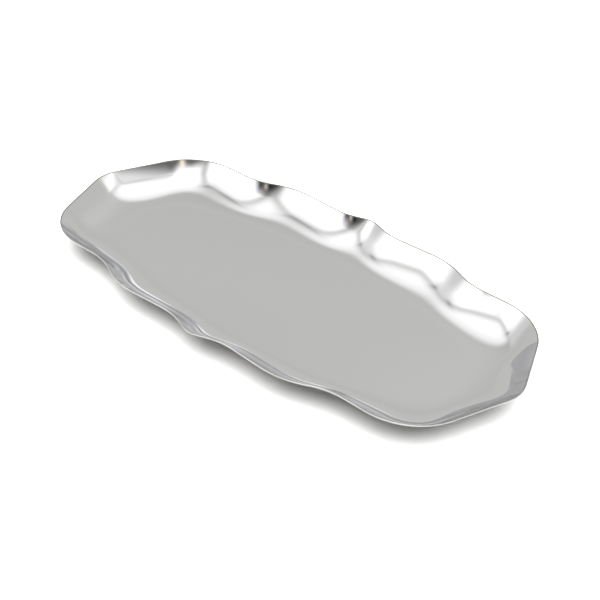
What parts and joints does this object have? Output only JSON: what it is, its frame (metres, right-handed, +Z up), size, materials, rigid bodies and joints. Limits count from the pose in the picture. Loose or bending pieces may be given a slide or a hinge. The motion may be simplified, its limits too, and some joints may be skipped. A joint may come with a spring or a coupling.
{
  "type": "serving tray",
  "caption": "Oblong pressed sheet-metal serving tray with a flat oval floor, a curved sloping wall and a scalloped rim with pointed ends.",
  "frame": {"origin": "on the standing surface, under the middle of the tray", "axes": "+X along the tray's length towards one pointed end, +Y across it, +Z up out of the well"},
  "size_m": [0.5004, 0.2638, 0.0266],
  "materials": {
    "mirror_steel": "mirror polished stainless steel, with faint polishing haze and fine buffing lines"
  },
  "bodies": {
    "root": {"tray_sheet": "mirror_steel"}
  },
  "joints": []
}
